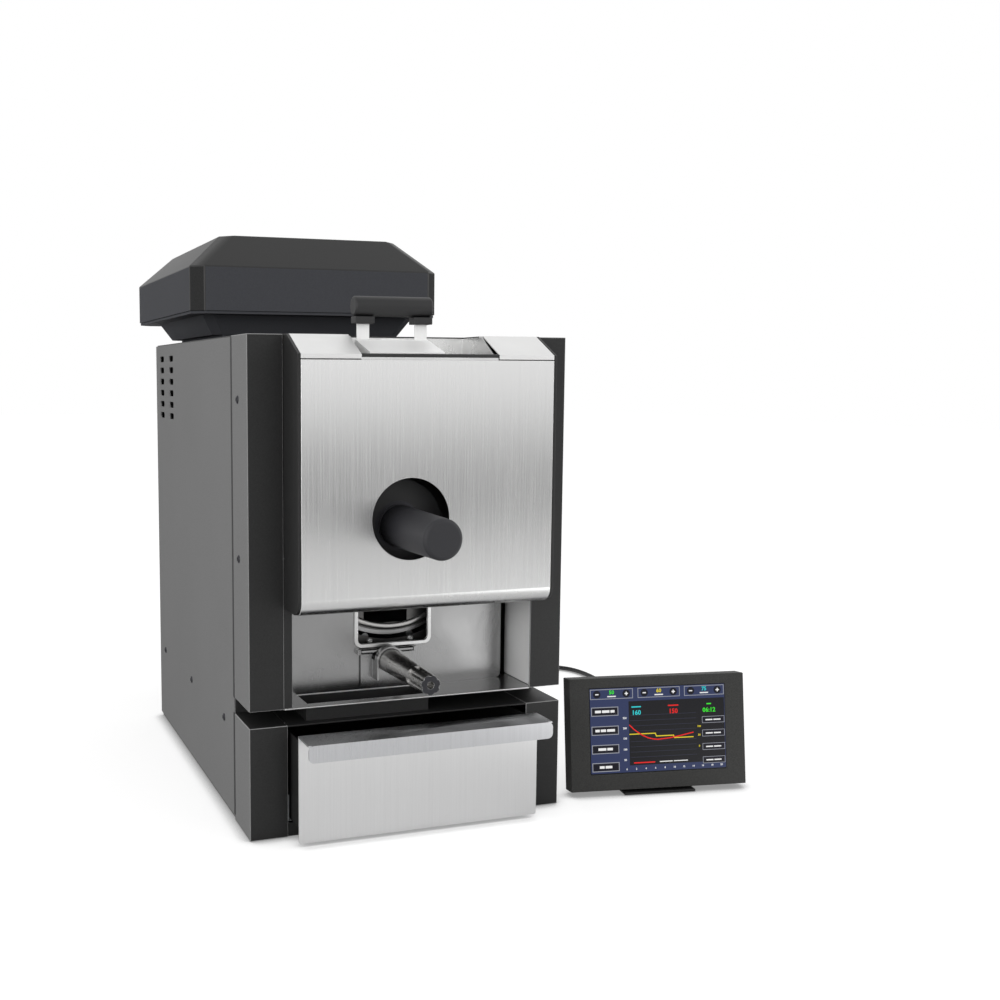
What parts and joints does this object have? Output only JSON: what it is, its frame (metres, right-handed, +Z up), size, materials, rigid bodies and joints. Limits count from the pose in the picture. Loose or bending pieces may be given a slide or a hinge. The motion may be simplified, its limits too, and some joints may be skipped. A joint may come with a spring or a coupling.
{
  "type": "home coffee bean roaster",
  "caption": "Countertop drum coffee roaster with bean hopper and gate, sampler, discharge lever, bean drawer, hinged chaff hood and wired touch display.",
  "frame": {"origin": "on the floor, at the centre of the case's base rim", "axes": "-Y is the front with the panel and the drawer, +Z is up, +X is the right side where the display stands"},
  "size_m": [0.4806, 0.6155, 0.458],
  "materials": {
    "case_grey": "satin grey powder coat, fine texture",
    "case_black": "black textured powder coat",
    "hood_grey": "dark grey satin powder coat",
    "brushed": "brushed stainless, vertical grain",
    "polished": "smooth bright stainless",
    "steel": "plain steel",
    "galvanised": "zinc coated sheet",
    "black_plastic": "matte black moulding",
    "display_shell": "dark grey, fine texture",
    "screen": "glossy touch screen",
    "rubber": "black rubber",
    "cable": "black cable jacket",
    "board": "green circuit board",
    "aluminium": "machined aluminium",
    "iron": "motor casing",
    "bronze": "sintered bronze"
  },
  "bodies": {
    "case": {"base_pan": "case_black", "rubber_feet": "rubber", "left_side_panel": "case_grey", "right_side_panel": "case_grey", "top_plate": "case_black", "rear_panel": "case_black", "upper_left_column": "case_black", "upper_right_column": "case_black", "lower_columns": "case_black", "base_deck": "case_black", "front_panel": "brushed", "front_cheeks": "case_black", "shoulder_plates": "polished", "hopper": "polished", "hopper_lip": "case_black", "alcove_back": "polished", "alcove_floor": "polished", "alcove_walls": "polished", "window_rim": "polished", "sampler_collar": "case_black", "drum_head": "steel", "drum_bulkhead": "galvanised", "drum_bearing": "bronze", "drive_belt": "rubber", "drive_motor": "iron", "heater_rods": "steel", "heat_jacket": "galvanised", "bean_probe": "steel", "control_board": "board", "exhaust_duct": "galvanised", "fan_housing": "case_black", "fan_mount": "galvanised", "power_inlet": "black_plastic", "case_screws": "steel", "hood_base": "hood_grey", "chaff_screen": "steel", "drawer_runners": "galvanised", "display_housing": "display_shell", "display_screen": "screen", "display_stand": "case_black", "cable_gland": "rubber", "display_cable": "cable", "cable_plug": "rubber"},
    "hood": {"hood_cover": "hood_grey"},
    "gate": {"gate_plate": "polished", "gate_brackets": "black_plastic", "gate_grip": "black_plastic"},
    "sleeve": {"sampler_sleeve": "steel"},
    "sampler": {"sampler_spoon": "steel", "sampler_grip": "black_plastic"},
    "door": {"discharge_door": "polished", "discharge_lever": "steel"},
    "drawer": {"drawer_front": "brushed", "drawer_tray": "case_black"},
    "drum_rotor": {"drum": "steel", "drum_shaft": "steel", "drum_pulley": "aluminium"},
    "motor_rotor": {"motor_pulley": "aluminium"},
    "fan_rotor": {"fan_wheel": "aluminium"},
    "rocker": {"power_rocker": "black_plastic"}
  },
  "joints": [
    {"name": "hood_hinge", "type": "hinge", "parent": "case", "child": "hood", "pos_m": [0, 0.3405, 0.3932], "axis": [-1, 0, 0], "range_deg": [0, 100]},
    {"name": "gate_lift", "type": "slide", "parent": "case", "child": "gate", "axis": [0, 0, 1], "range_m": [0, 0.03]},
    {"name": "sampler_turn", "type": "hinge", "parent": "case", "child": "sleeve", "pos_m": [-0.015, -0.1775, 0.2265], "axis": [0, 1, 0], "range_deg": [-180, 180]},
    {"name": "sampler_slide", "type": "slide", "parent": "sleeve", "child": "sampler", "axis": [0, -1, 0], "range_m": [0, 0.12]},
    {"name": "discharge_hinge", "type": "hinge", "parent": "case", "child": "door", "pos_m": [-0.007, -0.1442, 0.125], "axis": [-1, 0, 0], "range_deg": [0, 28]},
    {"name": "drawer_slide", "type": "slide", "parent": "case", "child": "drawer", "axis": [0, -1, 0], "range_m": [0, 0.2]},
    {"name": "drum_spin", "type": "hinge", "parent": "case", "child": "drum_rotor", "pos_m": [0.003, 0.0725, 0.206], "axis": [0, 1, 0], "continuous": true},
    {"name": "motor_spin", "type": "hinge", "parent": "case", "child": "motor_rotor", "pos_m": [0.092, 0.0725, 0.12], "axis": [0, 1, 0], "continuous": true},
    {"name": "fan_spin", "type": "hinge", "parent": "case", "child": "fan_rotor", "pos_m": [0, 0.2475, 0.29], "axis": [0, 1, 0], "continuous": true},
    {"name": "rocker_tilt", "type": "hinge", "parent": "case", "child": "rocker", "pos_m": [-0.077, 0.1735, 0.051], "axis": [1, 0, 0], "range_deg": [-8, 8]}
  ],
  "couplings": [
    {"joint": "motor_spin", "follows": "drum_spin", "ratio": 2.9167}
  ]
}
